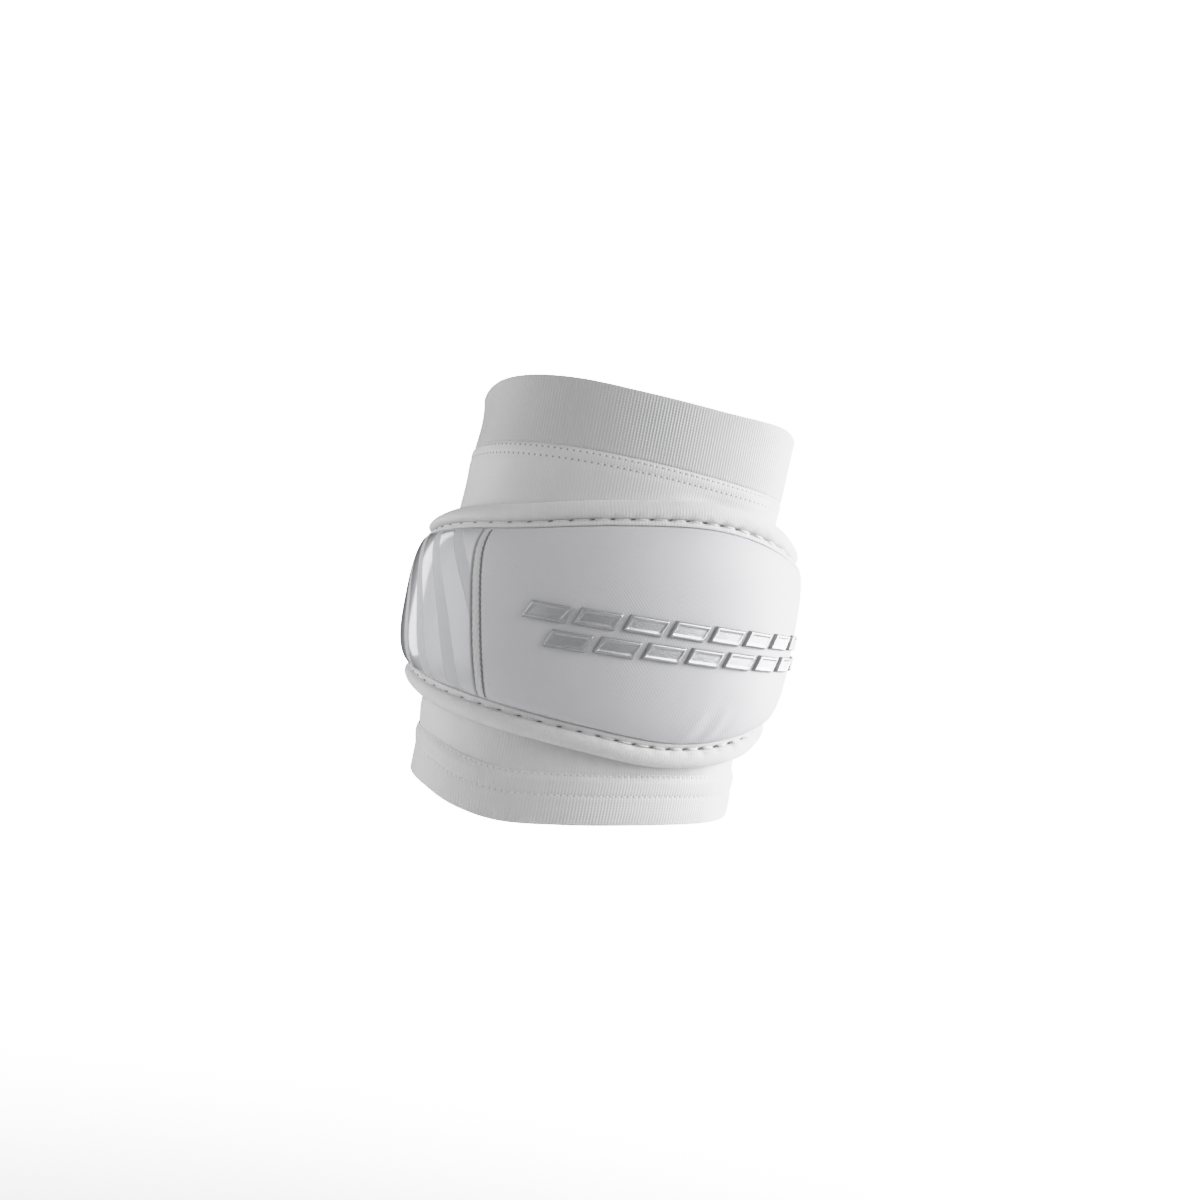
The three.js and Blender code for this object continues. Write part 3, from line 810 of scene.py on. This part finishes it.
def band(name, columns, outer, inner, material, uneven=0.15, seed=1):
    """A band right round the arm, from functions that give its outer and inner runs at angles."""
    arcs = np.arange(columns) * GIRTH / columns
    angle = angle_at(arcs)[:, None]
    along_out, lift_out = outer(angle)
    along_in, lift_in = inner(angle)
    along = np.concatenate([along_out, along_in], axis=1)
    lift = np.concatenate([lift_out, lift_in], axis=1)
    points = on_arm(angle, along, lift)
    drift = wander(points, 16.0, seed) * uneven
    points = on_arm(angle, along, lift + drift)
    wales = round(GIRTH / WALE_PITCH)
    across_uv = np.arange(columns + 1) / columns * wales * WALE_PITCH
    along_uv = np.concatenate([along, along[:, :1]], axis=1)
    along_uv = np.concatenate([along_uv, along_uv[:1]], axis=0)
    uv = np.stack([np.broadcast_to(across_uv[:, None], along_uv.shape), along_uv], axis=-1)
    return grid_object(name, points, uv, material, wrap_u=True)


def make_sleeve(material):
    edge = 0.8

    def outer(angle):
        low = hem_rim_at(angle) + HEM_TUCK
        share = np.linspace(0, 1, 110)[None, :]
        along = low + (SLEEVE_TOP - low) * share
        lift = knit_lift(angle, along) - edge * np.clip((along - CUFF_ROWS[0]) / (SLEEVE_TOP - CUFF_ROWS[0]), 0, 1)
        return along, lift

    def inner(angle):
        low = hem_rim_at(angle) + HEM_TUCK
        share = np.linspace(0, 1, 16)[None, :]
        along = SLEEVE_TOP + (low - SLEEVE_TOP) * share
        return along, np.minimum(0, knit_lift(angle, along)) - SLEEVE_WALL + 0 * angle

    piece = band("knit_sleeve", 480, outer, inner, material, 0.12, 1)
    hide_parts("sleeve")


def cuff_lift(angle, along):
    """The cuff's outer form above the sleeve's edge."""
    tucked = -SLEEVE_WALL - SEAM_FIT
    rim = rim_at(angle)
    share = (along - SLEEVE_TOP) / (rim - SLEEVE_TOP)
    swell = CUFF_RISE + 0.45
    rise = swell * np.clip((share + 0.03) / 0.05, 0, 1) ** 0.5
    return tucked + rise + (RIM_FLARE - 0.2) * np.clip(share, 0, 1) ** 2 + fold_at(angle, along)


def make_cuff(material):
    def outer(angle):
        rim = rim_at(angle)
        low = SLEEVE_TOP - CUFF_LAP
        share = np.concatenate([np.linspace(0, 1, 52), [1.004, 1.0065]])[None, :]
        along = low + (rim - low) * share
        lift = cuff_lift(angle, along)
        lift[:, -2:] -= np.array([0.18, 0.5])
        return along, lift

    def inner(angle):
        rim = rim_at(angle)
        low = SLEEVE_TOP - CUFF_LAP
        share = np.concatenate([[1.0055, 1.0], np.linspace(0.985, 0, 16)])[None, :]
        along = low + (rim - low) * share
        lift = cuff_lift(angle, along) - CUFF_WALL
        lift[:, :1] += 0.35
        return along, lift

    piece = band("knit_cuff", 480, outer, inner, material, 0.1, 2)
    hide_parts("upper_cuff")


def hem_lift(angle, over_rim):
    """The hem's outer form at heights over its rim, pressed in along its two rows of stitches."""
    lift = SEAM_FIT + HEM_WALL + fold_at(angle, hem_rim_at(angle) + over_rim)
    for row in HEM_ROWS:
        lift = lift - 0.22 * bump_at(over_rim, row, 0.8)
    lift = lift - 1.02 * np.clip((over_rim - HEM_HEIGHT + 3.0) / 3.0, 0, 1) ** 1.5
    between = (HEM_ROWS[0] + HEM_ROWS[1]) / 2
    lift = lift + 0.15 * bump_at(over_rim, between, 2.2) + 0.2 * bump_at(over_rim, 4.5, 3.0)
    return lift


def make_hem(material):
    def outer(angle):
        over = np.concatenate([[0.0, 0.12, 0.35], np.linspace(0.7, HEM_HEIGHT - 0.35, 62), [HEM_HEIGHT - 0.1]])
        over = over[None, :] + 0 * angle
        lift = hem_lift(angle, over)
        lift[:, 0] -= 0.5
        lift[:, 1] -= 0.22
        lift[:, 2] -= 0.06
        lift[:, -1] -= 0.08
        return hem_rim_at(angle) + over, lift

    def inner(angle):
        over = np.array([HEM_HEIGHT, HEM_HEIGHT * 0.6, HEM_HEIGHT * 0.25, 0.9, 0.3])[None, :] + 0 * angle
        along = hem_rim_at(angle) + over
        return along, SEAM_FIT * np.array([0.3, 1, 1, 1, 1.2])[None, :] + fold_at(angle, along)

    piece = band("knit_hem", 480, outer, inner, material, 0.08, 3)
    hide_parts("lower_hem")
    rim = np.array([hem_rim_at(angle_at(i * GIRTH / 480)) for i in range(481)])
    shift_hem_uv(piece, rim)


def shift_hem_uv(piece, rim):
    """Measures the hem's cloth up from its own rim, so that its rows of holes follow the rim."""
    layer = piece.data.uv_layers["cloth"].data
    values = np.empty(len(layer) * 2)
    layer.foreach_get("uv", values)
    values = values.reshape(-1, 2)
    wales = round(GIRTH / WALE_PITCH) * WALE_PITCH
    column = values[:, 0] / wales * 480
    values[:, 1] -= np.interp(column, np.arange(481), rim)
    layer.foreach_set("uv", values.ravel())


def make_knit_stitches(name, along_at, lift_at, pitch, material, length, radius):
    """A row of short threads round the arm, between the needle holes."""
    wales = round(GIRTH / WALE_PITCH) * WALE_PITCH
    count = int(wales / pitch)
    arcs = np.arange(count) * pitch * GIRTH / wales
    angle = angle_at(arcs)
    along = along_at(angle)
    lift = lift_at(angle, along)
    centres = on_arm(angle, along, lift)
    step = 0.05
    tangents = on_arm(angle + step, along_at(angle + step), lift) - on_arm(angle - step, along_at(angle - step), lift)
    normals = on_arm(angle, along, lift + 1) - centres
    piece = stitches_object(name, centres, tangents, normals, length, radius, 0.22, material, 0.7)
    return piece


def bank(loop, out):
    """How far the border is raised with the pad's sides, at distances out from the pad."""
    return loop["swell"] * (1 - (out / BANK_WIDTH) ** 2)


def border_grid(loop, across, up, start, width, height, pinch):
    """The border's points: a section carried round the pad, pinched towards its stitches."""
    upright = {key: (value[:, None] if np.ndim(value) else value) for key, value in loop.items()}
    out = start + across[None, :] * width
    lift = up[None, :] * (height + bank(upright, out))
    out, lift = pinch(out, lift)
    return beside_pad(upright, out, lift)


def border_uv(loop, grid):
    length = loop["length"]
    around_uv = np.append(loop["place"], length)
    steps = np.linalg.norm(np.roll(grid[0], -1, axis=0) - grid[0], axis=-1)
    section_uv = np.concatenate([[0], np.cumsum(steps)])
    scale = round(length / WALE_PITCH) * WALE_PITCH / length
    return np.stack(np.meshgrid(around_uv * scale, section_uv, indexing="ij"), axis=-1)


def pucker_strength(loop):
    """How strongly the border is gathered: more on the right of the pad than on the left."""
    gathered = bump_at(loop["angle"], 52, 26) + 0.5 * bump_at(loop["angle"], 5, 30)
    return 0.08 + 0.92 * np.clip(gathered, 0, 1)


def sinking(loop):
    """How far the stitches have sunk into the cloth: 0 in front, 1 towards the right of the pad."""
    start = 30 + 30 * (loop["along"] < 0)
    return np.clip((loop["angle"] - start) / 22, 0, 1)


def stitch_phase(loop):
    """Where each place lies between two needle holes: 0 at a hole, 0.5 half-way."""
    count = round(loop["length"] / GROOVE_STITCH)
    return np.mod(loop["place"] / loop["length"] * count, 1.0)


def make_border(material):
    loop = outline_loop(0.72)
    holes = np.cos(2 * math.pi * stitch_phase(loop)) * 0.5 + 0.5
    strength = pucker_strength(loop)
    middle = np.stack([loop["angle"], loop["along"], np.zeros_like(loop["angle"])], axis=-1)
    drift = wander(middle, 9.0, 4)
    slow = wander(middle, 30.0, 5)
    join = bump_at(loop["angle"], 78, 0.55) * (loop["along"] < 0)
    sunk = sinking(loop)
    calm = 0.5 - 0.3 * sunk

    start = SEAM_FIT + WELT_WIDTH + GROOVE_WIDTH

    def pinch(out, lift):
        inner = np.clip(1 - (out - start) / (ROLL_WIDTH * 0.3), 0, 1)
        high = np.clip(lift / ROLL_HEIGHT, 0, 1)
        pull = (holes ** 3 * strength * calm)[:, None] * inner * high
        wave_out = (drift * strength * 0.35)[:, None]
        lift = lift * (1 + 0.03 * slow[:, None]) - 1.2 * pull - 0.9 * join[:, None] * high
        lift = lift + 0.3 * (1 - holes[:, None]) * strength[:, None] * inner * high
        slope = np.clip(1 - (out - start) / (ROLL_WIDTH * 0.62), 0, 1)
        lift = lift * (1 - 0.17 * (sunk * (loop["along"] > 0))[:, None] * slope)
        out = out + wave_out * high - 0.25 * pull + 0.3 * slow[:, None] * high
        return out, lift

    across, up = smooth_section(ROLL_SECTION, 30)
    width = ROLL_WIDTH * loop["roll"][:, None]
    grid = border_grid(loop, across, up, start, width, ROLL_HEIGHT, pinch)
    piece = grid_object("border_puff", grid, border_uv(loop, grid), material, wrap_u=True)
    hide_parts("border_roll")
    return piece


def make_welt(material):
    loop = outline_loop(0.72)
    holes = np.cos(2 * math.pi * stitch_phase(loop)) * 0.5 + 0.5
    strength = pucker_strength(loop)

    def pinch(out, lift):
        outer = np.clip((out - SEAM_FIT) / WELT_WIDTH, 0, 1.4)
        dip = (holes ** 3 * strength * (1 - 0.7 * sinking(loop)))[:, None] * np.clip(outer, 0, 1) ** 3
        return out, lift - 0.7 * dip

    across, up = smooth_section(WELT_SECTION, 22)
    overlap = 0.2
    grid = border_grid(loop, across, up, SEAM_FIT - overlap, WELT_WIDTH + overlap, WELT_HEIGHT, pinch)
    piece = grid_object("border_edge_welt", grid, border_uv(loop, grid), material, wrap_u=True)
    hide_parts("border_welt")
    return piece


def make_groove_stitches(thread, hole):
    """The thread in the border's groove, and dark capsules of painted shade at the pulled needle holes between its
    stitches.
    """
    loop = outline_loop(0.2)
    count = round(loop["length"] / GROOVE_STITCH)
    out = SEAM_FIT + WELT_WIDTH + GROOVE_WIDTH * 0.5
    strength = pucker_strength(loop)
    lift = (0.87 + 0.02 * strength) * (WELT_HEIGHT + bank(loop, out))
    run = beside_pad(loop, out, lift)
    over = beside_pad(loop, out, lift + 1)
    ahead = run_frames(run)

    def at(shares):
        index = np.round(shares * len(run)).astype(int) % len(run)
        return index, run[index], ahead[index], over[index] - run[index], strength[index]

    _, centres, tangents, normals, gathered = at((np.arange(count) + 0.5) / count)
    radius = 0.26 + 0.34 * gathered
    piece = stitches_object("groove_thread", centres, tangents, normals, GROOVE_STITCH * 0.78, radius, 0.5, thread)
    # Dark capsules at the needle holes: painted shade, thinner where the stitches have sunk.
    index, centres, tangents, normals, gathered = at(np.arange(count) / count)
    sideways = np.cross(normals, tangents)
    tangents = tangents + sideways * 0.16
    radius = (0.14 + 0.1 * gathered) * (1 - 0.8 * sinking(loop)[index])
    piece = stitches_object("groove_hole_shade_marks", centres, tangents, normals, 1.9, radius, 0.1, hole)


def pad_grid(angle_of, columns, rows, height_at, extra=0.0):
    """Closed sections of a pad piece: over its dome from bottom to top edge, and back beneath."""
    shares = columns[:, None]
    turn = (1 - np.cos(rows * math.pi)) / 2
    ups = (0.7 * turn + 0.3 * rows)[None, :]
    angle = angle_of(shares, ups)
    along = pad_along(angle, ups)
    top = on_arm(angle, along, height_at(angle, ups))
    back = ups[:, ::-1]
    under_angle = angle_of(shares, back)
    under = on_arm(under_angle, pad_along(under_angle, back), PAD_SEAT)
    thin = slice(None, None, 6)
    under = np.concatenate([under[:, :1], under[:, 1:-1][:, thin], under[:, -1:]], axis=1)
    grid = np.concatenate([top, under], axis=1)
    uv_top = np.stack([arc_at(angle) * 1.18, along * 1.12], axis=-1)
    padding = np.repeat(uv_top[:, :1], under.shape[1] + 1, axis=1)
    return grid, np.concatenate([uv_top, padding], axis=1)


def panel_height(angle, up):
    """The panel's dome, with the soft pulls of its cloth along the lower edge."""
    lift = dome_height(angle, up)
    turned = angle - 22 * (up - 0.08)
    pulls = (
        0.2 * bump_at(turned, 35, 3.2) - 0.18 * bump_at(turned, 40, 2.8)
        + 0.12 * bump_at(turned, 44.5, 2.4) - 0.1 * bump_at(turned, 49, 2.6)
    )
    lift = lift + pulls * bump_at(up, 0.08, 0.1)
    return lift


def make_panel(material):
    gap = STRIP_WIDTH / 2 + SEAM_FIT

    def angle_of(share, up):
        start = seam_angle(up)
        start = start + gap / surface_rates(start)[0]
        return start + (PAD_RIGHT_END - start) * share

    share = np.linspace(0, 1, 260)
    columns = (share + np.sin(share * math.pi / 2)) / 2
    grid, uv = pad_grid(angle_of, columns, np.linspace(0, 1, 90), panel_height)
    piece = grid_object("padded_panel", grid, uv, material, caps=True)
    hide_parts("main_panel")


def make_cap(material):
    gap = STRIP_WIDTH / 2 + SEAM_FIT

    def angle_of(share, up):
        end = seam_angle(up)
        end = end - gap / surface_rates(end)[0]
        return PAD_LEFT_END + (end - PAD_LEFT_END) * share

    share = np.linspace(0, 1, 110)
    columns = 1 - ((1 - share) + np.sin((1 - share) * math.pi / 2)) / 2
    grid, uv = pad_grid(angle_of, columns, np.linspace(0, 1, 90), dome_height)
    piece = grid_object("glossy_cap", grid, uv, material, caps=True)
    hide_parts("cap_panel")


def strip_angle(up, offset):
    """The angle of a line that runs up the pad beside the seam, at a sideways distance."""
    seam = seam_angle(up)
    return seam + offset / surface_rates(seam)[0]


def make_strip(material):
    half = STRIP_WIDTH / 2

    def angle_of(share, up):
        return strip_angle(up, (share * 2 - 1) * (half + 0.22))

    def height_at(angle, up):
        side = (angle - seam_angle(up)) * surface_rates(seam_angle(up))[0] / half
        return dome_height(angle, up) - STRIP_SINK + 0.45 + 0.15 * (1 - np.clip(side, -1, 1) ** 2)

    grid, uv = pad_grid(angle_of, np.linspace(0, 1, 13), np.linspace(0, 1, 120), height_at)
    piece = grid_object("seam_strip_cloth", grid, uv, material, caps=True)
    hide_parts("seam_strip")


def pad_line(offset, sink, count=400):
    """A line that runs up the pad beside the seam, and the same line 1 mm higher."""
    ups = np.linspace(0.012, 0.988, count)
    angle = strip_angle(ups, offset)
    along = pad_along(angle, ups)
    lift = dome_height(angle, ups) - sink
    return on_arm(angle, along, lift), on_arm(angle, along, lift + 1)


def make_thick_thread(material):
    """The thick thread on the panel's side of the strip: two plies twisted round each other."""
    radius, twist_pitch, sides = 0.48, 2.1, 14
    line, over = pad_line(STRIP_WIDTH / 2 + 0.08, 0.16, 1000)
    steps = np.linalg.norm(np.diff(line, axis=0), axis=1)
    run = np.concatenate([[0], np.cumsum(steps)])
    normal = over - line
    ahead = np.gradient(line, axis=0)
    ahead /= np.linalg.norm(ahead, axis=1, keepdims=True)
    sideways = np.cross(normal, ahead)
    turn = np.arange(sides) * 2 * math.pi / sides
    plies = np.cos(2 * turn[None, :] - 2 * math.pi * run[:, None] / twist_pitch)
    reach = radius * (1 + 0.16 * plies)
    grid = (
        line[:, None] + sideways[:, None] * (reach * np.cos(turn))[..., None]
        + normal[:, None] * (reach * np.sin(turn))[..., None]
    )
    uv = np.zeros((len(line), sides + 1, 2))
    uv[..., 0] = run[:, None]
    uv[..., 1] = np.arange(sides + 1) * radius * 0.45
    piece = grid_object("seam_thread_thick", grid, uv, material, caps=True)


def make_thin_thread(material):
    """The thin stitches on the cap's side of the strip."""
    pitch = 2.7
    line, over = pad_line(-STRIP_WIDTH / 2 - 0.1, 0.33)
    steps = np.linalg.norm(np.diff(line, axis=0), axis=1)
    run = np.concatenate([[0], np.cumsum(steps)])
    places = np.arange(pitch / 2, run[-1], pitch)
    index = np.searchsorted(run, places).clip(1, len(run) - 2)
    normals = over[index] - line[index]
    tangents = line[index + 1] - line[index - 1]
    piece = stitches_object("seam_thread_thin", line[index], tangents, normals, 2.1, 0.17, 0.05, material)


def bar_grid(start, end, middle, inset, lift, columns, rows):
    """Points of one raised bar's face, drawn in from its outline and lifted off the dome."""
    rate = surface_rates((start + end) / 2)[0]
    side = np.linspace(-1, 1, rows)[None, :]
    share = np.linspace(0, 1, columns)[:, None]
    lean = side * BAR_SLANT / 2 / rate
    angle = start + inset / rate + (end - start - 2 * inset / rate) * share + lean
    along = middle + side * (BAR_HEIGHT / 2 - inset)
    bottom, top, _, _ = pad_edges(angle)
    return on_arm(angle, along, dome_height(angle, (along - bottom) / (top - bottom)) + lift)


def make_bar(name, node, start, end, middle, face, side):
    """One raised bar: a flat silver face, a rounded shoulder, and sides down to the panel in a darker copy of the
    silver, which is painted shade.
    """
    columns, rows = 18, 7
    rim = BAR_BEVEL + 0.35
    levels = [(rim + 0.25, BAR_THICK - 0.28), (rim, BAR_THICK - 0.02), (rim - 0.1, BAR_THICK), (BAR_BEVEL, BAR_THICK)]
    levels += [(BAR_BEVEL * 0.72, BAR_THICK - 0.05), (BAR_BEVEL * 0.45, BAR_THICK - 0.2)]
    levels += [(BAR_BEVEL * 0.2, BAR_THICK * 0.5), (0.0, -0.05)]
    grids = [bar_grid(start, end, middle, inset, SEAM_FIT * 0.5 + lift, columns, rows) for inset, lift in levels]

    def ring(grid):
        return np.concatenate([grid[:-1, 0], grid[-1, :-1], grid[:0:-1, -1], grid[0, :0:-1]])

    points = [grids[0].reshape(-1, 3)]
    faces, kinds = [], []
    for i in range(columns - 1):
        for j in range(rows - 1):
            faces.append([i * rows + j, (i + 1) * rows + j, (i + 1) * rows + j + 1, i * rows + j + 1])
            kinds.append(0)
    index = np.arange(columns * rows).reshape(columns, rows)
    upper = ring(index)
    count = len(upper)
    base = columns * rows
    for level, grid in enumerate(grids[1:]):
        points.append(ring(grid))
        lower = np.arange(base, base + count)
        for k in range(count):
            faces.append([upper[k], lower[k], lower[(k + 1) % count], upper[(k + 1) % count]])
            # The lower levels take the darker silver: painted shade on the bar's sides.
            kinds.append(0 if level < 4 else 1)
        upper = lower
        base += count
    faces.append(list(upper[::-1]))
    kinds.append(1)
    points = np.concatenate(points)
    quads = np.array([f for f in faces if len(f) == 4])
    if volume_sign(points, quads) < 0:
        faces = [f[::-1] for f in faces]
    piece = mesh_object(name, points, faces, [face, side], face_material=kinds)
    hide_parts(node)


def make_bars(face, side):
    pitch = (BARS_END - BARS_START) / (BARS_PER_ROW + 0.5)
    for row, above, shift in (("upper", 1, 0.0), ("lower", -1, 0.5)):
        for i in range(BARS_PER_ROW):
            start = BARS_START + (i + shift) * pitch
            share = (i + shift) / BARS_PER_ROW
            middle = -BARS_DROP + BARS_CLIMB * share + above * BAR_ROW_PITCH / 2
            end = start + pitch - BAR_GAP / surface_rates(start + pitch / 2)[0]
            make_bar(f"silver_bar_{row}_{i + 1}", f"accent_bar_{row}_{i + 1}", start, end, middle, face, side)


def main():
    make_camera()
    make_floor()
    make_light()
    sleeve_knit = knit_material("sleeve_knit", KNIT_WHITE, CUFF_ROWS, rib_depth_and_shade=0.5)
    cuff_knit = knit_material("cuff_knit", CUFF_WHITE, rib_depth_and_shade=0.8)
    hem_knit = knit_material("hem_knit", KNIT_WHITE, HEM_ROWS, HEM_STITCH, rib_depth_and_shade=0.6, hole_painted_shade=0.12)
    border_knit = knit_material("border_knit", BORDER_WHITE, rib_depth_and_shade=0.5)
    white_thread = thread_material("white_thread", THREAD_WHITE)
    grey_thread = thread_material("grey_thread", THREAD_GREY)
    thin_thread = thread_material("thin_thread", THIN_THREAD)
    # The dark capsules' material is painted shade for the groove's needle holes.
    painted_hole_shade = thread_material("needle_hole_shade", HOLE_SHADE, 0.9)
    make_sleeve(sleeve_knit)
    make_cuff(cuff_knit)
    make_hem(hem_knit)
    for i, row in enumerate(CUFF_ROWS):
        make_knit_stitches(f"cuff_stitches_{i + 1}", lambda a, row=row: row + 0 * a,
                           lambda a, s: knit_lift(a, s) + 0.02, CUFF_STITCH, white_thread, 1.35, 0.24)
    for i, row in enumerate(HEM_ROWS):
        make_knit_stitches(f"hem_stitches_{i + 1}", lambda a, row=row: hem_rim_at(a) + row,
                           lambda a, s: hem_lift(a, s - hem_rim_at(a)) + 0.02, HEM_STITCH, white_thread, 1.7, 0.22)
    make_border(border_knit)
    make_welt(border_knit)
    make_groove_stitches(white_thread, painted_hole_shade)
    make_panel(panel_material())
    make_cap(cap_material())
    make_strip(knit_material("strip_cloth", STRIP_WHITE, rib_depth_and_shade=0.4))
    make_thick_thread(grey_thread)
    make_thin_thread(thin_thread)
    make_bars(silver_material("silver_face", SILVER, 0.65, 0.42), silver_material("silver_side_shade", SHADED_SILVER, 0.45, 0.55))
    set_tones()


main()
